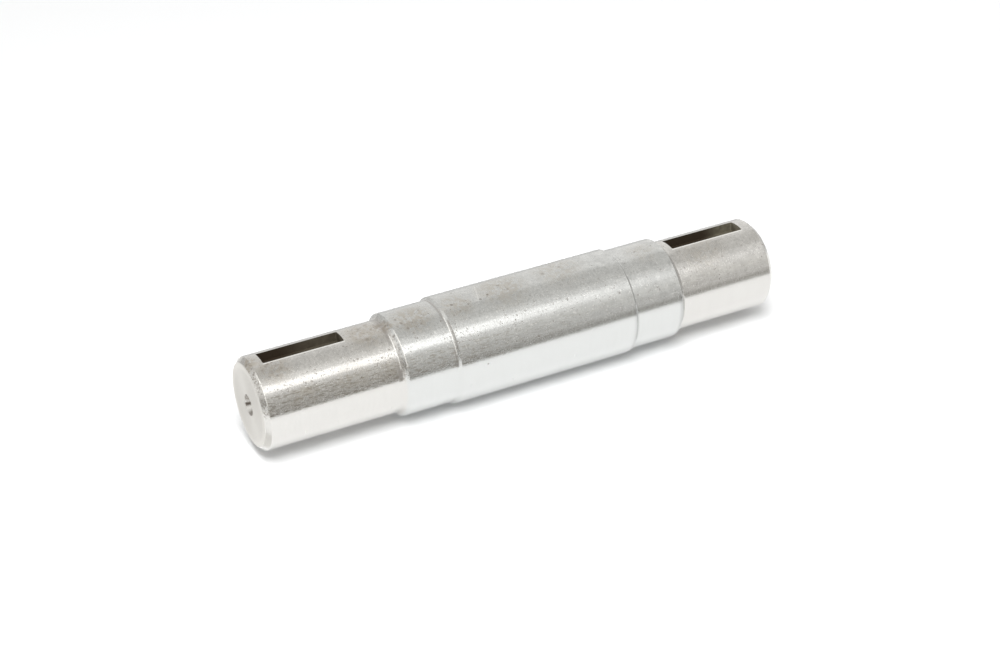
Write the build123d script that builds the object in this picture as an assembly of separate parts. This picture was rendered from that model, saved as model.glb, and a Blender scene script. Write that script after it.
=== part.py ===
from build123d import *
import math
import os

# A keyed drive shaft turned from one steel bar, in millimetres, +Z up.
# It stands on its lower end face at z = 0, with its axis on Z and both keyways facing -Y.

# Lengths of the turned sections, from the lower end upwards: journal, seat, body, seat, journal.
# Each shoulder's slope is counted with the thicker section.
LOWER_JOURNAL_LENGTH = 41.5
SEAT_LENGTH = 22.0
BODY_LENGTH = 76.5
UPPER_JOURNAL_LENGTH = 54.5

# Diameters of the sections.
JOURNAL_DIAMETER = 36.0
SEAT_DIAMETER = 40.0
BODY_DIAMETER = 42.0

# Lengths along the axis of the slopes from journal to seat and from seat to body.
SEAT_SLOPE_LENGTH = 2.0
BODY_SLOPE_LENGTH = 1.0

# Leg of the 45-degree chamfer on both end rims.
END_CHAMFER = 2.0

# Radius that the turning tool leaves at the foot of a shoulder, and radius of the broken outer edges.
FOOT_RADIUS = 0.4
RIDGE_RADIUS = 0.3

# Closed keyways, square at both ends.
KEYWAY_WIDTH = 8.0
KEYWAY_LENGTH = 32.0
KEYWAY_DEPTH = 4.0
KEYWAY_CORNER_RADIUS = 0.5
UPPER_KEYWAY_SETBACK = 6.2
LOWER_KEYWAY_SETBACK = 6.5

# Centre holes for turning between centres, one in each end face.
CENTRE_MOUTH_DIAMETER = 8.5
CENTRE_PILOT_DIAMETER = 4.0
CENTRE_HOLE_DEPTH = 7.4
CENTRE_CONE_ANGLE = 60.0
DRILL_POINT_ANGLE = 118.0


def roundings(step):
    """Radii at the foot and at the ridge of a shoulder, neither of them larger than its step."""
    return min(FOOT_RADIUS, abs(step)), min(RIDGE_RADIUS, abs(step))


def shaft_corners():
    """Corners of the half outline from the axis out and back: distance from the axis, height, rounding."""
    journal_radius = JOURNAL_DIAMETER / 2
    seat_radius = SEAT_DIAMETER / 2
    body_radius = BODY_DIAMETER / 2

    body_foot = LOWER_JOURNAL_LENGTH + SEAT_LENGTH
    body_top = body_foot + BODY_LENGTH
    upper_seat_top = body_top + SEAT_LENGTH
    length = upper_seat_top + UPPER_JOURNAL_LENGTH

    seat_foot_rounding, seat_ridge_rounding = roundings(seat_radius - journal_radius)
    body_foot_rounding, body_ridge_rounding = roundings(body_radius - seat_radius)
    rim_rounding = min(RIDGE_RADIUS, END_CHAMFER)

    return [
        (0, 0, 0),
        (journal_radius - END_CHAMFER, 0, rim_rounding),
        (journal_radius, END_CHAMFER, rim_rounding),
        (journal_radius, LOWER_JOURNAL_LENGTH, seat_foot_rounding),
        (seat_radius, LOWER_JOURNAL_LENGTH + SEAT_SLOPE_LENGTH, seat_ridge_rounding),
        (seat_radius, body_foot, body_foot_rounding),
        (body_radius, body_foot + BODY_SLOPE_LENGTH, body_ridge_rounding),
        (body_radius, body_top - BODY_SLOPE_LENGTH, body_ridge_rounding),
        (seat_radius, body_top, body_foot_rounding),
        (seat_radius, upper_seat_top - SEAT_SLOPE_LENGTH, seat_ridge_rounding),
        (journal_radius, upper_seat_top, seat_foot_rounding),
        (journal_radius, length - END_CHAMFER, rim_rounding),
        (journal_radius - END_CHAMFER, length, rim_rounding),
        (0, length, 0),
    ]


def centre_hole_corners():
    """Corners of a centre hole's half outline, its mouth at height 0 and its point above it on the axis."""
    mouth_radius = CENTRE_MOUTH_DIAMETER / 2
    pilot_radius = CENTRE_PILOT_DIAMETER / 2
    cone_depth = (mouth_radius - pilot_radius) / math.tan(math.radians(CENTRE_CONE_ANGLE / 2))
    point_depth = pilot_radius / math.tan(math.radians(DRILL_POINT_ANGLE / 2))
    return [
        (0, 0, 0),
        (mouth_radius, 0, 0),
        (pilot_radius, cone_depth, 0),
        (pilot_radius, CENTRE_HOLE_DEPTH - point_depth, 0),
        (0, CENTRE_HOLE_DEPTH, 0),
    ]


def turned(corners):
    """Solid of revolution about Z of the closed half outline through these corners."""
    points = [(distance, 0, height) for distance, height, _ in corners]
    radii = [rounding for _, _, rounding in corners]
    outline = FilletPolyline(*points, radius=radii, close=True)
    return revolve(make_face(outline), axis=Axis.Z)


def keyway(middle):
    """Keyway cutter on the -Y side of a journal, centred at the given height.

    It is twice as tall as the keyway is deep, so that it comes out through the journal's surface.
    """
    floor = JOURNAL_DIAMETER / 2 - KEYWAY_DEPTH
    cutter = Box(
        KEYWAY_WIDTH,
        KEYWAY_DEPTH * 2,
        KEYWAY_LENGTH,
        align=(Align.CENTER, Align.MAX, Align.CENTER),
    )
    cutter = fillet(cutter.edges().filter_by(Axis.Y), KEYWAY_CORNER_RADIUS)
    return Pos(0, -floor, middle) * cutter


corners = shaft_corners()
shaft_length = max(height for _, height, _ in corners)
shaft = turned(corners)

upper_keyway_middle = shaft_length - UPPER_KEYWAY_SETBACK - KEYWAY_LENGTH / 2
lower_keyway_middle = LOWER_KEYWAY_SETBACK + KEYWAY_LENGTH / 2
shaft -= keyway(upper_keyway_middle)
shaft -= keyway(lower_keyway_middle)

centre_hole = turned(centre_hole_corners())
shaft -= centre_hole
shaft -= Pos(0, 0, shaft_length) * Rot(180, 0, 0) * centre_hole

os.makedirs("parts", exist_ok=True)
export_step(shaft, "parts/shaft.step")
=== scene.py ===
import math

import bpy
from mathutils import Matrix, Vector


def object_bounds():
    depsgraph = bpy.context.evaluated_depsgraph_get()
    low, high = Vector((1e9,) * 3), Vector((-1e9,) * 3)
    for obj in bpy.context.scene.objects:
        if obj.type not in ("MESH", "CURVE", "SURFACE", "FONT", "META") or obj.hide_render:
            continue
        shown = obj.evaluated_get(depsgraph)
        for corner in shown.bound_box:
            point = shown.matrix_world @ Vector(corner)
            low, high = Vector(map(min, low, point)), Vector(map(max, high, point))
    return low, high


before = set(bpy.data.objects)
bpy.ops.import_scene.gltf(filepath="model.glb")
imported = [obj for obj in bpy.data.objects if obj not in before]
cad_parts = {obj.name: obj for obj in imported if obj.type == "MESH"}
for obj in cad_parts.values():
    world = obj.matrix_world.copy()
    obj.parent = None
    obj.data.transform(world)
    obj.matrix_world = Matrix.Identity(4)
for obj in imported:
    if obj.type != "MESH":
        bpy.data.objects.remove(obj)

# A keyed drive shaft lies on a white table under soft light.
# In the shaft's own frame its axis is +Z and both keyways face -Y. The keyways look straight up here,
# so "up" is -Y, "front" (towards the camera) is -X, and the table is a plane across Y.
# Angles go round the axis in degrees: 0 is straight up and 90 is to the front.
# Places are in metres. Names that end in _MM are in millimetres, and so are all sizes in the steel's shader.

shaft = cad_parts["shaft"]
cad_low, cad_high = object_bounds()

MM_PER_METRE = 1000.0
DEGREES = 180.0 / math.pi

# Sizes of the shaft. Heights are read from its lower end face upwards.
LENGTH_MM = cad_high.z * MM_PER_METRE
LOWER_FOOT_MM = 41.5
LOWER_BODY_FOOT_MM = 63.5
UPPER_BODY_FOOT_MM = 140.0
UPPER_FOOT_MM = 162.0
SEAT_STEP_MM = 2.0
END_CHAMFER_MM = 2.0
JOURNAL_RADIUS_MM = 18.0
SEAT_RADIUS_MM = 20.0
BODY_RADIUS_MM = 21.0
CENTRE_HOLE_RADIUS_MM = 4.25
CENTRE_PILOT_RADIUS_MM = 2.0

# Keyways: half their width, how far their floor is from the axis, and where each begins and ends along it.
KEYWAY_HALF_WIDTH_MM = 4.0
KEYWAY_FLOOR_MM = 14.0
KEYWAY_SPANS_MM = ((6.5, 38.5), (178.3, 210.3))

# Camera.
CAMERA_PLACE = Vector((-0.65087, -0.38455, 0.41547))
CAMERA_FORWARD = Vector((0.79935, 0.47256, -0.37113))
CAMERA_UP = Vector((0.40106, -0.87953, -0.25608))
SENSOR_WIDTH_MM = 36.0
LENS_MM = 76.25
CLIP_END = 20.0

# Colours of the steel, its dirt and its rust, and of painted highlights, painted shade and painted light, in
# linear light.
STEEL = (0.56, 0.55, 0.53)
COOL_STEEL = (0.545, 0.55, 0.54)
# Bright lines on edges: partly wear, partly a painted highlight.
WORN_AND_LIT_STEEL = (0.87, 0.86, 0.83)
TARNISH = (0.43, 0.41, 0.375)
STREAK = (0.36, 0.34, 0.305)
BROWN_STAIN = (0.365, 0.325, 0.265)
# Dark brown of rust pits, also used for painted shade at shoulder feet, slopes and centre holes.
PIT_AND_SHADE = (0.10, 0.075, 0.055)
# Inside the keyways: dark oil with painted shade, and painted light near their far ends.
KEYWAY_SHADE_AND_OIL = (0.070, 0.052, 0.036)
KEYWAY_PAINTED_LIGHT = (0.29, 0.27, 0.21)

# The side and the end faces meet this far from the ends.
FACE_DEPTH_MM = 0.3
# Marks get stronger from the first of these heights to the second. Soft blotches get weaker.
NEAR_MM = (60.0, 200.0)
BLOTCHES_MM = (150.0, 60.0)
# The end faces are brighter in a ring that begins and is full at these distances from the axis.
BRIGHT_RING_MM = (13.0, 15.0)
# Edges with a bright line on them, partly wear and partly a painted highlight where the edge catches the
# light, and half the width of the bright line.
WORN_AND_LIT_EDGES_MM = (
    LENGTH_MM - END_CHAMFER_MM,
    UPPER_FOOT_MM,
    UPPER_FOOT_MM - SEAT_STEP_MM,
    UPPER_BODY_FOOT_MM,
)
LIT_EDGE_HALF_WIDTH_MM = 0.35
# The dark band that the side reflects ends where the surface faces up by this much, from 1 at the top to 0 at
# the front. Painted shade runs along that edge.
DARK_BAND_END = 0.235
# One slanted scratch on the body: its height at the top, and how much that grows with each degree.
SCRATCH_MM = 122.3
SCRATCH_SLANT_MM = 0.112
# Depth of the pits and rings in the bump.
BUMP_DEPTH = 0.00006

# Soft brown zones on the side that faces up: height, angle, radius, strength.
BROWN_ZONES = (
    (170.0, 8, 11.0, 0.8),
    (163.5, 8, 5.0, 1.0),
    (161.0, 13, 3.5, 1.0),
    (208.0, 24, 9.0, 0.8),
    (215.5, 4, 6.0, 1.0),
    (151.0, 12, 11.0, 0.9),
    (133.0, 14, 9.0, 0.7),
    (113.0, 6, 14.0, 0.7),
    (88.0, 0, 14.0, 0.55),
    (200.0, 72, 9.0, 0.6),
    (181.0, 74, 12.0, 0.5),
    (166.0, 70, 8.0, 0.6),
    (52.0, 8, 9.0, 0.4),
    (28.0, 26, 13.0, 0.45),
)

# Marks that stand out on the side that faces up: height, angle, radius, strength.
DARK_MARKS = (
    (161.0, -24, 3.0, 0.30),
    (215.6, -2, 2.2, 0.25),
    (189.7, 13.6, 0.8, 0.6),
    (188.0, 15.5, 0.7, 0.4),
    (163.6, 4, 2.2, 0.40),
    (170.7, -2, 0.9, 0.5),
    (170.2, 21, 1.1, 0.6),
    (168.6, 26, 0.7, 0.5),
    (175.5, 9, 0.6, 0.4),
    (212.0, 24, 0.9, 0.55),
    (210.0, 19, 1.0, 0.50),
    (209.0, 29, 1.1, 0.50),
    (206.5, 22, 0.8, 0.55),
    (205.0, 27, 0.9, 0.50),
    (207.5, 35, 0.7, 0.50),
    (156.0, 17, 0.8, 0.7),
    (154.6, 26, 0.9, 0.7),
    (153.4, 33, 0.6, 0.6),
    (152.0, 20, 0.7, 0.6),
    (157.3, 9, 0.8, 0.6),
    (149.0, 25, 0.7, 0.65),
    (146.5, 14, 0.8, 0.5),
    (133.0, 24, 0.6, 0.5),
    (128.8, 19, 0.7, 0.6),
    (123.3, 17, 0.8, 0.65),
    (113.5, 3, 1.0, 0.5),
    (94.5, 4, 1.1, 0.45),
    (86.5, -1, 0.9, 0.5),
    (117.0, 43, 0.5, 0.5),
    (109.0, 44, 0.6, 0.5),
    (120.0, 48.6, 0.5, 0.5),
    (115.0, 61, 0.6, 0.45),
    (106.4, 74, 0.8, 0.5),
    (128.6, 87.6, 0.6, 0.45),
    (70.5, 72, 0.6, 0.5),
    (75.7, 32, 0.8, 0.4),
    (53.0, 59, 0.7, 0.4),
    (36.6, 20, 0.9, 0.4),
    (10.8, 36, 0.7, 0.4),
)

# Table: how far it reaches, and how much it glows in reflections.
TABLE_REACH = 1.6
TABLE_GLOW = 0.31
TABLE_WHITE = (0.93, 0.94, 0.95)

# Ranges along the shaft over which a glow goes from its far colour to its near one.
CARD_SPAN = (-0.60, -0.05)
ROOM_SPAN = (-0.25, 0.05)
RIM_SPAN = (-0.05, 0.10)

# Patches that lie this far above the table and hide it from reflections. The first is a painted shadow: the
# table behind the shaft, darker in the shaft's shadow. The second stands for the table beyond the near end,
# brighter than the rest, and the other two for the room beyond its front edge.
# Each has its range across the shaft and along it, its near and its far colour, and their span.
PATCH_RISE = 0.0005
TABLE_FRONT = -0.110
DARK_RIM_END = TABLE_FRONT - 0.045
TABLE_PATCHES = (
    (
        "back_table_shadow",
        (0.050, TABLE_REACH),
        (-TABLE_REACH, 0.19),
        (0.76, 0.76, 0.75),
        (0.76, 0.76, 0.75),
        CARD_SPAN,
    ),
    (
        "end_table",
        (-0.02, TABLE_REACH),
        (cad_high.z + 0.001, TABLE_REACH),
        (1.13, 1.12, 1.09),
        (1.13, 1.12, 1.09),
        CARD_SPAN,
    ),
    (
        "dark_rim",
        (DARK_RIM_END, TABLE_FRONT),
        (-TABLE_REACH, TABLE_REACH),
        (0.35, 0.34, 0.31),
        (0.48, 0.47, 0.44),
        RIM_SPAN,
    ),
    (
        "dark_room",
        (-TABLE_REACH, DARK_RIM_END),
        (-TABLE_REACH, TABLE_REACH),
        (0.42, 0.41, 0.38),
        (0.56, 0.55, 0.52),
        ROOM_SPAN,
    ),
)

# How far the cards are from the axis, and the ones across and behind the shaft from its lower end.
SKY_DISTANCE = 1.4
FRONT_DISTANCE = 1.2
NEAR_ROOM = 1.3
BACK_ROOM = 1.3

# The room's colour, its strength as seen, and the lower strength with which it lights matt surfaces.
WORLD = (1.0, 0.99, 0.97)
WORLD_SEEN = 0.95
WORLD_LIGHT = 0.58

# Both lights face this place.
LIT_PLACE = (0.0, 0.0, 0.108)


def profile_radius(height):
    """Radius of the turned section at this height."""
    if LOWER_BODY_FOOT_MM < height < UPPER_BODY_FOOT_MM:
        return BODY_RADIUS_MM
    if LOWER_FOOT_MM < height < UPPER_FOOT_MM:
        return SEAT_RADIUS_MM
    return JOURNAL_RADIUS_MM


class Nodes:
    """Adds nodes to one node tree. Apart from add, each call returns the new node's result socket."""

    def __init__(self, owner):
        owner.use_nodes = True
        self.tree = owner.node_tree
        self.tree.nodes.clear()

    def add(self, kind, inputs, **settings):
        node = self.tree.nodes.new(kind)
        for name, value in settings.items():
            setattr(node, name, value)
        for key, value in inputs.items():
            if isinstance(value, bpy.types.NodeSocket):
                self.tree.links.new(value, node.inputs[key])
            else:
                node.inputs[key].default_value = value
        return node

    def math(self, operation, *values):
        return self.add("ShaderNodeMath", dict(enumerate(values)), operation=operation).outputs[0]

    def product(self, *values):
        result = values[0]
        for value in values[1:]:
            result = self.math("MULTIPLY", result, value)
        return result

    def highest(self, *values):
        result = values[0]
        for value in values[1:]:
            result = self.math("MAXIMUM", result, value)
        return result

    def step(self, value, start, end):
        """Smooth step from 0 at start to 1 at end. It falls where start is above end."""
        inputs = {0: value, 1: start, 2: end}
        return self.add("ShaderNodeMapRange", inputs, interpolation_type="SMOOTHSTEP").outputs[0]

    def scaled(self, value, low, high):
        """A value between 0 and 1, stretched to the range from low to high."""
        return self.add("ShaderNodeMapRange", {0: value, 3: low, 4: high}).outputs[0]

    def band(self, value, low, high, soft):
        """1 between low and high, fading to 0 over soft on each side."""
        rise = self.step(value, low - soft, low)
        fall = self.step(value, high + soft, high)
        return self.math("MULTIPLY", rise, fall)

    def line(self, value, middle, half_width):
        """A soft line of this half width about one value."""
        away = self.math("ABSOLUTE", self.math("SUBTRACT", value, middle))
        return self.step(away, half_width, 0.0)

    def point(self, x, y, z):
        return self.add("ShaderNodeCombineXYZ", {0: x, 1: y, 2: z}).outputs[0]

    def noise(self, at, scale, detail, roughness):
        inputs = {"Vector": at, "Scale": scale, "Detail": detail, "Roughness": roughness}
        return self.add("ShaderNodeTexNoise", inputs).outputs[0]

    def blend(self, share, first, second):
        """Colour that goes from first to second as share goes from 0 to 1."""
        colours = [c if isinstance(c, bpy.types.NodeSocket) else (*c, 1.0) for c in (first, second)]
        inputs = {0: share, 6: colours[0], 7: colours[1]}
        return self.add("ShaderNodeMix", inputs, data_type="RGBA").outputs[2]

    def blend_value(self, share, first, second):
        """Number that goes from first to second as share goes from 0 to 1."""
        return self.add("ShaderNodeMix", {0: share, 2: first, 3: second}).outputs[0]

    def mark(self, at, height, angle, size, strength):
        """Soft round mark on the surface, centred at a height and an angle."""
        centre = above(angle, profile_radius(height), height)
        away = self.add("ShaderNodeVectorMath", {0: at, 1: centre}, operation="DISTANCE").outputs["Value"]
        return self.math("MULTIPLY", self.step(away, size, size * 0.3), strength)

    def shade(self, colour, factor):
        """Colour made darker or lighter by a factor."""
        grey = self.point(factor, factor, factor)
        inputs = {0: 1.0, 6: colour, 7: grey}
        return self.add("ShaderNodeMix", inputs, data_type="RGBA", blend_type="MULTIPLY").outputs[2]

    def toned(self, colour, mask, factor):
        """Colour made darker or lighter by a factor, in the share that the mask gives."""
        return self.shade(colour, self.blend_value(mask, 1.0, factor))

    def dots(self, at, per_mm, radius_mm, density):
        """Round dots of random size, at most one in a cell, in the share of the cells that density gives."""
        cell = self.add("ShaderNodeTexVoronoi", {"Vector": at, "Scale": per_mm})
        chance = self.add("ShaderNodeSeparateColor", {0: cell.outputs["Color"]})
        radius = self.math("MULTIPLY", self.scaled(chance.outputs[1], 0.45, 1.0), radius_mm * per_mm)
        dot = self.step(cell.outputs["Distance"], radius, self.math("MULTIPLY", radius, 0.35))
        chosen = self.math("LESS_THAN", chance.outputs[0], density)
        return self.product(dot, chosen, self.scaled(chance.outputs[2], 0.35, 1.0))


def above(angle, distance, height):
    """Place at this distance from the axis, at an angle in degrees from straight up towards the front."""
    turn = math.radians(angle)
    return Vector((-math.sin(turn) * distance, -math.cos(turn) * distance, height))


def make_camera():
    forward = CAMERA_FORWARD.normalized()
    right = forward.cross(CAMERA_UP).normalized()
    up = right.cross(forward)
    data = bpy.data.cameras.new("camera")
    data.sensor_width = SENSOR_WIDTH_MM
    data.lens = LENS_MM
    data.clip_end = CLIP_END
    camera = bpy.data.objects.new("camera", data)
    turn = Matrix((right, up, -forward)).transposed().to_4x4()
    camera.matrix_world = Matrix.Translation(CAMERA_PLACE) @ turn
    bpy.context.scene.collection.objects.link(camera)
    bpy.context.scene.camera = camera


class Steel(Nodes):
    """Nodes of the steel's shader, in the shaft's own frame and in millimetres.

    The scale of a noise is per millimetre.
    """

    def __init__(self, owner):
        super().__init__(owner)
        self.find_place()
        self.make_noises()
        self.find_regions()

    def find_place(self):
        """Where a point is, how far it is from the axis, how much it faces up, and at what angle it lies."""
        place = self.add("ShaderNodeTexCoord", {}).outputs["Object"]
        inputs = {0: place, "Scale": MM_PER_METRE}
        self.at = self.add("ShaderNodeVectorMath", inputs, operation="SCALE").outputs[0]
        self.x, self.y, self.z = self.add("ShaderNodeSeparateXYZ", {0: self.at}).outputs
        self.rise = self.math("MULTIPLY", self.y, -1.0)
        across = self.math("MULTIPLY", self.x, self.x)
        self.radius = self.math("SQRT", self.math("ADD", across, self.math("MULTIPLY", self.y, self.y)))
        self.up = self.math("DIVIDE", self.rise, self.math("MAXIMUM", self.radius, 0.1))
        turn = self.math("ARCTAN2", self.math("MULTIPLY", self.x, -1.0), self.rise)
        self.angle = self.math("MULTIPLY", turn, DEGREES)

    def squeezed(self, across, along):
        """Place with x and y made smaller, so that a noise changes little round the axis."""
        x = self.math("MULTIPLY", self.x, across)
        y = self.math("MULTIPLY", self.y, across)
        return self.point(x, y, along)

    def make_noises(self):
        """Patterns in the steel. The tool's rings follow the profile, so the end faces have them as well."""
        profile = self.math("ADD", self.z, self.radius)
        self.rings = self.noise(self.squeezed(0.05, profile), 1.7, 2.0, 0.6)
        self.ticks = self.noise(self.squeezed(0.35, self.z), 1.3, 2.0, 0.6)
        self.drawn = self.noise(self.point(self.x, self.y, self.math("MULTIPLY", self.z, 0.2)), 1.9, 2.0, 0.6)
        self.grain = self.noise(self.at, 1.8, 2.0, 0.6)
        self.blotch = self.noise(self.at, 0.28, 3.0, 0.5)
        self.cloud = self.noise(self.at, 0.10, 2.0, 0.5)
        self.patch = self.noise(self.at, 0.55, 3.0, 0.62)
        self.fleck = self.noise(self.at, 1.05, 3.0, 0.6)

    def along_keyways(self, margin, soft):
        """1 at the heights of the keyways and up to this margin beyond their ends."""
        spans = [(low - margin, high + margin) for low, high in KEYWAY_SPANS_MM]
        return self.highest(*[self.band(self.z, low, high, soft) for low, high in spans])

    def find_regions(self):
        """Parts of the shaft, each from 0 outside it to 1 inside it."""
        self.side = self.band(self.z, FACE_DEPTH_MM, LENGTH_MM - FACE_DEPTH_MM, 0.2)
        self.upper = self.math("MULTIPLY", self.step(self.up, 0.12, 0.42), self.side)
        self.near = self.step(self.z, *NEAR_MM)
        self.shoulder = self.band(self.z, UPPER_FOOT_MM - SEAT_STEP_MM, UPPER_FOOT_MM, 0.15)
        self.chamfer = self.band(self.z, LENGTH_MM - END_CHAMFER_MM, LENGTH_MM - FACE_DEPTH_MM, 0.15)
        self.in_keyway = self.product(
            self.step(self.rise, KEYWAY_FLOOR_MM - 0.3, KEYWAY_FLOOR_MM - 0.1),
            self.step(self.radius, JOURNAL_RADIUS_MM - 0.02, JOURNAL_RADIUS_MM - 0.12),
            self.along_keyways(0.05, 0.02),
        )
        self.in_centre = self.product(
            self.step(self.radius, CENTRE_HOLE_RADIUS_MM, CENTRE_HOLE_RADIUS_MM - 0.1),
            self.step(self.side, 0.0, 0.6),
        )
        in_bore = self.step(self.radius, CENTRE_PILOT_RADIUS_MM + 0.25, CENTRE_PILOT_RADIUS_MM)
        self.in_pilot = self.math("MULTIPLY", in_bore, self.in_centre)

    def metal_and_shade(self):
        """Colour of the metal under its marks, with painted shade on the slopes at the top and on the far
        edges.
        """
        thick = self.step(self.radius, JOURNAL_RADIUS_MM + 0.5, SEAT_RADIUS_MM - 0.5)
        colour = self.shade(self.blend(thick, STEEL, COOL_STEEL), self.scaled(self.rings, 0.95, 1.05))

        # Grain and mottling on the side that faces up.
        grained = self.math("MULTIPLY", self.step(self.angle, -32.0, -6.0), self.scaled(self.near, 0.4, 1.0))
        colour = self.toned(colour, grained, self.scaled(self.grain, 0.91, 1.09))
        blotched = self.math("MULTIPLY", self.upper, self.step(self.z, *BLOTCHES_MM))
        colour = self.toned(colour, blotched, self.scaled(self.blotch, 0.82, 1.18))
        mottled = self.math("MULTIPLY", self.upper, self.scaled(self.near, 0.55, 1.0))
        colour = self.toned(colour, mottled, self.scaled(self.patch, 0.78, 1.22))
        flecked = self.product(self.step(self.up, 0.55, 0.85), self.step(self.angle, -24.0, -4.0), self.upper)
        colour = self.toned(colour, flecked, self.scaled(self.fleck, 0.68, 1.32))
        colour = self.toned(colour, self.upper, self.scaled(self.cloud, 0.95, 1.05))

        # Painted shade on the slopes at the top, where they reflect darker surroundings, painted shade on the
        # edges towards the far end, and brighter end faces.
        shaded_chamfer = self.product(self.chamfer, self.band(self.angle, -30.0, 22.0, 10.0))
        shaded_shoulder = self.product(self.shoulder, self.band(self.angle, -14.0, 20.0, 10.0))
        colour = self.toned(colour, self.highest(shaded_chamfer, shaded_shoulder), 0.86)
        # Painted shade along the far edges of the body and the far seat, on the front.
        far_edge_shade = self.highest(
            self.line(self.z, LOWER_BODY_FOOT_MM + 0.7, 1.9),
            self.line(self.z, LOWER_FOOT_MM + SEAT_STEP_MM + 0.2, 1.6),
        )
        colour = self.toned(colour, self.product(far_edge_shade, self.band(self.up, -0.9, 0.20, 0.15)), 0.76)
        face = self.scaled(self.step(self.radius, *BRIGHT_RING_MM), 1.06, 1.18)
        return self.shade(colour, self.blend_value(self.side, face, 1.0))

    def tarnish(self):
        """Marks left by the tool, where they have tarnished."""
        facing = self.band(self.up, 0.3, 0.8, 0.1)
        strength = self.scaled(self.near, 0.15, 0.45)
        return self.product(self.step(self.ticks, 0.60, 0.72), facing, strength, self.side)

    def streaks(self):
        """Streaks along the shaft in the dark band."""
        facing = self.band(self.up, 0.17, 0.50, 0.08)
        strength = self.scaled(self.near, 0.15, 1.0)
        return self.product(self.step(self.drawn, 0.46, 0.66), facing, strength, self.side)

    def scattered_pits(self, zones):
        """Flecks and dots, closer together in some places, and rows of dots on the near slopes."""
        density = self.product(
            self.highest(self.step(self.cloud, 0.40, 0.62), zones),
            self.upper,
            self.scaled(self.near, 0.45, 1.0),
        )
        flecks = self.product(self.step(self.fleck, 0.57, 0.68), self.scaled(density, 0.16, 0.74), self.upper)
        share = self.math("MULTIPLY", density, 0.50)
        small = self.product(self.dots(self.at, 0.85, 0.52, share), 0.85)
        large = self.product(self.dots(self.at, 0.40, 0.85, share), 0.90)
        rim_dots = self.product(
            self.dots(self.at, 0.9, 0.75, 0.95),
            self.highest(self.product(self.shoulder, 0.7), self.product(self.chamfer, 0.75)),
            self.step(self.up, 0.30, 0.75),
        )
        rim_blots = self.product(
            self.dots(self.at, 0.55, 1.1, 0.9),
            self.highest(self.chamfer, self.shoulder),
            self.band(self.angle, -14.0, 34.0, 6.0),
        )
        return self.highest(flecks, small, large, rim_dots, rim_blots)

    def dirt_and_painted_shade(self):
        """Painted shade with some dirt at the feet of the near shoulders, painted shade on the body's slope,
        darker painted streaks along the dark band's edge, and flecks in the dark band.
        """
        # Painted shade in the corner at each shoulder's foot, over some dirt.
        foot_shade = self.product(
            self.highest(
                self.line(self.z, UPPER_FOOT_MM + 0.7, 1.7),
                self.line(self.z, UPPER_BODY_FOOT_MM + 0.5, 0.9),
            ),
            self.highest(self.step(self.up, 0.72, 0.92), self.band(self.up, 0.18, 0.42, 0.08)),
            self.scaled(self.patch, 0.4, 1.0),
            0.8,
        )
        # Painted shade on the body's upper slope, where it reflects dark surroundings.
        slope_shade = self.product(
            self.line(self.z, UPPER_BODY_FOOT_MM - 0.65, 0.6),
            self.band(self.up, 0.46, 0.84, 0.06),
            self.scaled(self.grain, 0.4, 0.9),
        )
        # Painted shade: darker streaks along the lower edge of the reflected dark band.
        band_edge_shade = self.product(
            self.step(self.drawn, 0.44, 0.58),
            self.line(self.up, DARK_BAND_END, 0.07),
            self.scaled(self.near, 0.1, 0.5),
            self.side,
        )
        low_flecks = self.product(
            self.step(self.fleck, 0.55, 0.66),
            self.band(self.up, 0.18, 0.40, 0.06),
            self.scaled(self.near, 0.1, 0.55),
            self.side,
        )
        return self.highest(foot_shade, slope_shade, band_edge_shade, low_flecks)

    def wear_and_highlights(self):
        """Nicks and one scratch, which are wear, and bright lines on edges and the keyways' rims, partly wear
        and partly painted highlights. Of the keyways' rims the front one is the brighter, a painted
        highlight.
        """
        # Painted highlights along edges that catch the light, over a little wear.
        edges = self.highest(*[self.line(self.z, edge, LIT_EDGE_HALF_WIDTH_MM) for edge in WORN_AND_LIT_EDGES_MM])
        edges = self.product(edges, self.band(self.up, 0.40, 0.88, 0.07), self.step(self.grain, 0.28, 0.50))

        chamfer_foot = LENGTH_MM - END_CHAMFER_MM
        nicks = self.product(
            self.step(self.noise(self.at, 1.4, 2.0, 0.6), 0.60, 0.68),
            self.band(self.up, 0.30, 0.80, 0.08),
            self.side,
            self.step(self.z, chamfer_foot, chamfer_foot - 1.0),
            0.45,
        )

        straightened = self.math("SUBTRACT", self.z, self.math("MULTIPLY", self.angle, SCRATCH_SLANT_MM))
        scratch = self.product(
            self.line(straightened, SCRATCH_MM, 0.45),
            self.band(self.angle, -8.0, 16.0, 5.0),
            self.scaled(self.grain, 0.0, 0.6),
            self.side,
        )

        # Painted highlight along the keyways' rims, over a small burr, brighter on the front rim.
        rims = self.product(
            self.line(self.math("ABSOLUTE", self.x), KEYWAY_HALF_WIDTH_MM + 0.25, 0.5),
            self.step(self.rise, KEYWAY_FLOOR_MM, KEYWAY_FLOOR_MM + 1.0),
            self.along_keyways(0.0, 0.2),
            self.scaled(self.step(self.x, 1.0, -1.0), 0.35, 1.0),
            self.scaled(self.grain, 0.5, 1.2),
        )
        return self.highest(edges, nicks, scratch, rims)

    def keyway_colour(self):
        """Dark inside, from oil and painted shade, and a painted lighter patch towards the far end of each
        keyway, where light falls on the end wall, less so in the upper one.
        """
        lower_end = self.step(self.z, 21.0, 10.0)
        upper_end = self.product(self.step(self.z, 203.0, 186.0), self.step(self.z, 100.0, 110.0), 0.45)
        painted_light = self.math("MULTIPLY", self.highest(lower_end, upper_end), self.scaled(self.patch, 0.1, 1.4))
        return self.blend(painted_light, KEYWAY_SHADE_AND_OIL, KEYWAY_PAINTED_LIGHT)

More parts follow.
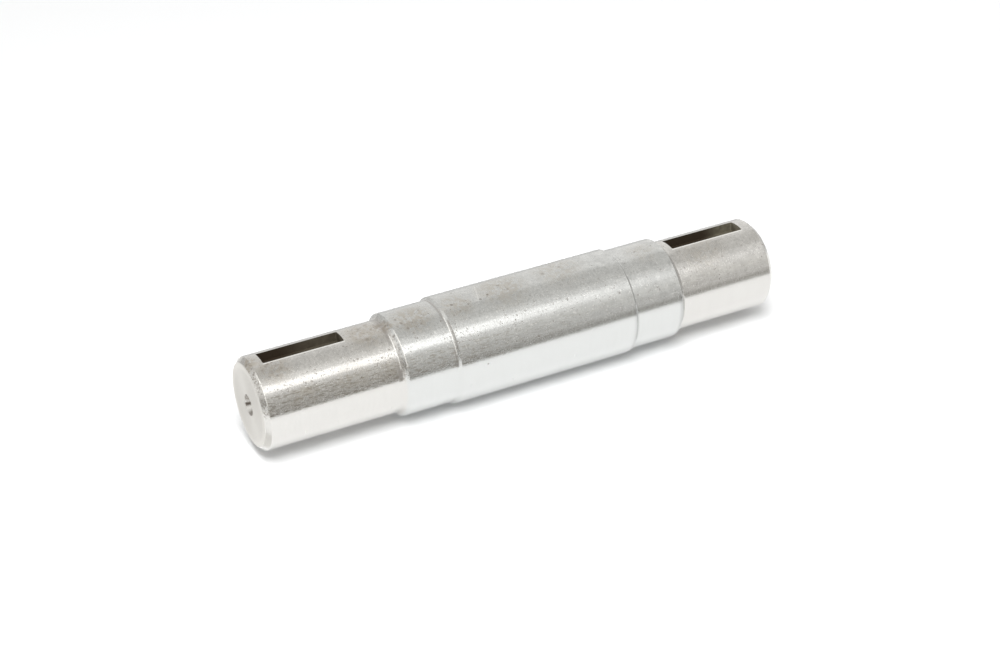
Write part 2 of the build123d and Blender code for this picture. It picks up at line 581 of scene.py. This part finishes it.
    def centre_hole_shade(self):
        """Painted shade in the centre holes: two dark sectors and a faint one in the cone, and all of the
        pilot.
        """
        in_cone = self.highest(
            self.line(self.angle, -111.0, 20.0),
            self.product(self.step(self.math("ABSOLUTE", self.angle), 152.0, 170.0), 0.7),
            self.product(self.band(self.angle, -96.0, 120.0, 12.0), 0.35),
        )
        return self.highest(self.math("MULTIPLY", in_cone, self.in_centre), self.in_pilot)


def steel_material():
    """Turned steel: rings from the tool, tarnish, brown stains, rust pits, worn edges with painted
    highlights, and painted shade in the keyways, centre holes, shoulder feet, top slopes and far edges.
    """
    material = bpy.data.materials.new("turned_steel")
    n = Steel(material)
    zones = n.math("MULTIPLY", n.highest(*[n.mark(n.at, *zone) for zone in BROWN_ZONES]), n.upper)
    stain = n.product(zones, n.step(n.patch, 0.36, 0.58), 0.65)
    marks = [n.mark(n.at, *mark) for mark in DARK_MARKS]
    # Pits and dirt together with painted shade. All of them take the pit colour, roughness and bump.
    pits_and_shade = n.highest(n.scattered_pits(zones), *marks, n.dirt_and_painted_shade())
    # Painted shade in the centre holes.
    centre_hole_shade = n.centre_hole_shade()

    colour = n.blend(n.tarnish(), n.metal_and_shade(), TARNISH)
    colour = n.blend(n.streaks(), colour, STREAK)
    colour = n.blend(stain, colour, BROWN_STAIN)
    colour = n.blend(n.math("MULTIPLY", pits_and_shade, 0.85), colour, PIT_AND_SHADE)
    colour = n.blend(n.wear_and_highlights(), colour, WORN_AND_LIT_STEEL)
    colour = n.blend(n.in_keyway, colour, n.keyway_colour())
    colour = n.blend(n.math("MULTIPLY", centre_hole_shade, 0.9), colour, PIT_AND_SHADE)

    # The end faces and the stains are rougher, and pits, dirt and painted shade, in the keyways and centre
    # holes too, are rougher and less metallic.
    dirt_and_shade = n.highest(n.in_keyway, centre_hole_shade)
    rough = n.math("ADD", n.scaled(n.rings, 0.20, 0.30), n.scaled(n.side, 0.14, 0.0))
    rough = n.math("ADD", rough, n.math("MULTIPLY", n.highest(pits_and_shade, stain), 0.12))
    rough = n.math("MAXIMUM", rough, n.math("MULTIPLY", dirt_and_shade, 0.55))
    dull = n.highest(n.math("MULTIPLY", pits_and_shade, 0.6), n.math("MULTIPLY", dirt_and_shade, 0.5))

    height = n.math("ADD", n.math("MULTIPLY", n.rings, 0.2), n.math("MULTIPLY", n.grain, 0.10))
    height = n.math("SUBTRACT", height, pits_and_shade)
    bump = n.add("ShaderNodeBump", {"Height": height, "Distance": BUMP_DEPTH, "Strength": 0.5})
    tangent = n.add("ShaderNodeTangent", {}, direction_type="RADIAL", axis="Z")
    inputs = {
        "Base Color": colour,
        "Metallic": n.math("SUBTRACT", 1.0, dull),
        "Roughness": rough,
        "Anisotropic": 0.75,
        "Anisotropic Rotation": 0.25,
        "Tangent": tangent.outputs[0],
        "Normal": bump.outputs[0],
    }
    bsdf = n.add("ShaderNodeBsdfPrincipled", inputs)
    n.add("ShaderNodeOutputMaterial", {"Surface": bsdf.outputs[0]})
    return material


def table_material():
    """White and matt. It glows a little in reflections only, so that the steel over it stays bright.

    Its underside is clear, so that the shaft can be seen from below the table.
    """
    material = bpy.data.materials.new("white_table")
    n = Nodes(material)
    white = n.add("ShaderNodeBsdfDiffuse", {"Color": (*TABLE_WHITE, 1.0)}).outputs[0]
    mirrored = n.add("ShaderNodeLightPath", {}).outputs["Is Glossy Ray"]
    glow = n.add("ShaderNodeEmission", {"Strength": n.math("MULTIPLY", mirrored, TABLE_GLOW)}).outputs[0]
    white = n.add("ShaderNodeAddShader", {0: white, 1: glow}).outputs[0]
    clear = n.add("ShaderNodeBsdfTransparent", {}).outputs[0]
    underside = n.add("ShaderNodeNewGeometry", {}).outputs["Backfacing"]
    mixed = n.add("ShaderNodeMixShader", {0: underside, 1: white, 2: clear}).outputs[0]
    n.add("ShaderNodeOutputMaterial", {"Surface": mixed})
    return material


def glow_material(name, near_colour, far_colour, span):
    """Light of its own, whose colour goes along the shaft from the far one to the near one over this span."""
    material = bpy.data.materials.new(name)
    n = Nodes(material)
    place = n.add("ShaderNodeTexCoord", {}).outputs["Object"]
    height = n.add("ShaderNodeSeparateXYZ", {0: place}).outputs[2]
    colour = n.blend(n.step(height, *span), far_colour, near_colour)
    glow = n.add("ShaderNodeEmission", {"Color": colour}).outputs[0]
    n.add("ShaderNodeOutputMaterial", {"Surface": glow})
    return material


def stage_plane(name, corners, material):
    """Flat stage object through these corners."""
    mesh = bpy.data.meshes.new(name)
    mesh.from_pydata(corners, [], [tuple(range(len(corners)))])
    mesh.materials.append(material)
    piece = bpy.data.objects.new(name, mesh)
    bpy.context.scene.collection.objects.link(piece)
    return piece


def glow_plane(name, corners, near_colour, far_colour, span=CARD_SPAN):
    """Plane with light of its own that only reflections see."""
    piece = stage_plane(name, corners, glow_material(name, near_colour, far_colour, span))
    piece.visible_camera = False
    piece.visible_diffuse = False
    piece.visible_shadow = False
    piece.visible_transmission = False


def make_table():
    """The table that is seen, and the patches over it that only reflections see."""
    table = cad_high.y
    reach = TABLE_REACH
    corners = [(-reach, table, -reach), (reach, table, -reach), (reach, table, reach), (-reach, table, reach)]
    stage_plane("table", corners, table_material())
    patch = table - PATCH_RISE
    for name, (start, end), (low, high), near_colour, far_colour, span in TABLE_PATCHES:
        corners = [(start, patch, low), (end, patch, low), (end, patch, high), (start, patch, high)]
        glow_plane(name, corners, near_colour, far_colour, span)


def make_card(name, angles, distance, near_colour, far_colour):
    """Card along the shaft, from one angle to another."""
    first, last = angles
    corners = [
        above(first, distance, -TABLE_REACH),
        above(last, distance, -TABLE_REACH),
        above(last, distance, TABLE_REACH),
        above(first, distance, TABLE_REACH),
    ]
    glow_plane(name, corners, near_colour, far_colour)


def make_room_card(name, across, colour):
    """Card across the axis, beyond the near end, over this range of y."""
    first, last = across
    reach = TABLE_REACH
    room = NEAR_ROOM
    corners = [(-reach, first, room), (reach, first, room), (reach, last, room), (-reach, last, room)]
    glow_plane(name, corners, colour, colour)


def make_back_card(name, across, along, colour):
    """Card behind the shaft and parallel to it, over these ranges of y and of z."""
    first, last = across
    low, high = along
    room = BACK_ROOM
    corners = [(room, first, low), (room, last, low), (room, last, high), (room, first, high)]
    glow_plane(name, corners, colour, colour)


def make_cards():
    """What the steel reflects: soft bands above and in front, and the room behind and beyond the near end."""
    make_card("back_band", (-88, -24), SKY_DISTANCE, (0.97, 0.96, 0.94), (1.15, 1.14, 1.12))
    make_card("ceiling", (-24, 4), SKY_DISTANCE, (0.80, 0.79, 0.765), (0.82, 0.81, 0.785))
    make_card("skirt", (4, 15), SKY_DISTANCE, (0.96, 0.95, 0.92), (0.76, 0.75, 0.725))
    make_card("halo", (15, 30), SKY_DISTANCE, (1.38, 1.37, 1.34), (0.92, 0.91, 0.89))
    make_room_card("near_low", (0.02, -0.28), (0.45, 0.44, 0.42))
    make_room_card("near_high", (-0.28, -1.30), (1.30, 1.29, 1.26))
    make_back_card("back_low", (0.02, -0.90), (0.25, 1.30), (0.66, 0.65, 0.63))
    make_card("front_band", (47, 57), FRONT_DISTANCE, (0.95, 0.94, 0.92), (1.12, 1.11, 1.08))
    make_card("front_top", (57, 71), FRONT_DISTANCE, (0.73, 0.72, 0.69), (1.02, 1.01, 0.98))
    make_card("front_low", (71, 93), FRONT_DISTANCE, (0.58, 0.57, 0.54), (0.89, 0.88, 0.86))


def make_light(name, place, size, energy, mirrored=True):
    """Rectangular area light that faces the shaft. The first size is across the shaft."""
    data = bpy.data.lights.new(name, "AREA")
    data.shape = "RECTANGLE"
    data.size, data.size_y = size
    data.energy = energy
    light = bpy.data.objects.new(name, data)
    light.location = place
    light.rotation_euler = (Vector(LIT_PLACE) - Vector(place)).to_track_quat("-Z", "Y").to_euler()
    light.visible_glossy = mirrored
    bpy.context.scene.collection.objects.link(light)


def make_world():
    """Pale room. It lights the table less than it shows in the steel, so that contact shadows stay deep."""
    world = bpy.data.worlds.new("studio")
    n = Nodes(world)
    diffuse = n.add("ShaderNodeLightPath", {}).outputs["Is Diffuse Ray"]
    strength = n.blend_value(diffuse, WORLD_SEEN, WORLD_LIGHT)
    sky = n.add("ShaderNodeBackground", {"Color": (*WORLD, 1.0), "Strength": strength}).outputs[0]
    n.add("ShaderNodeOutputWorld", {"Surface": sky})
    bpy.context.scene.world = world


make_camera()
make_table()
make_cards()
make_light("key", above(37.6, 0.8, -0.03), size=(0.24, 0.36), energy=0.425)
make_light("fill", above(29, 2.0, 0.56), size=(1.15, 0.7), energy=35.5, mirrored=False)
make_world()

steel = steel_material()
for material_slot in shaft.material_slots:
    material_slot.material = steel

bpy.context.scene.view_settings.view_transform = "Standard"
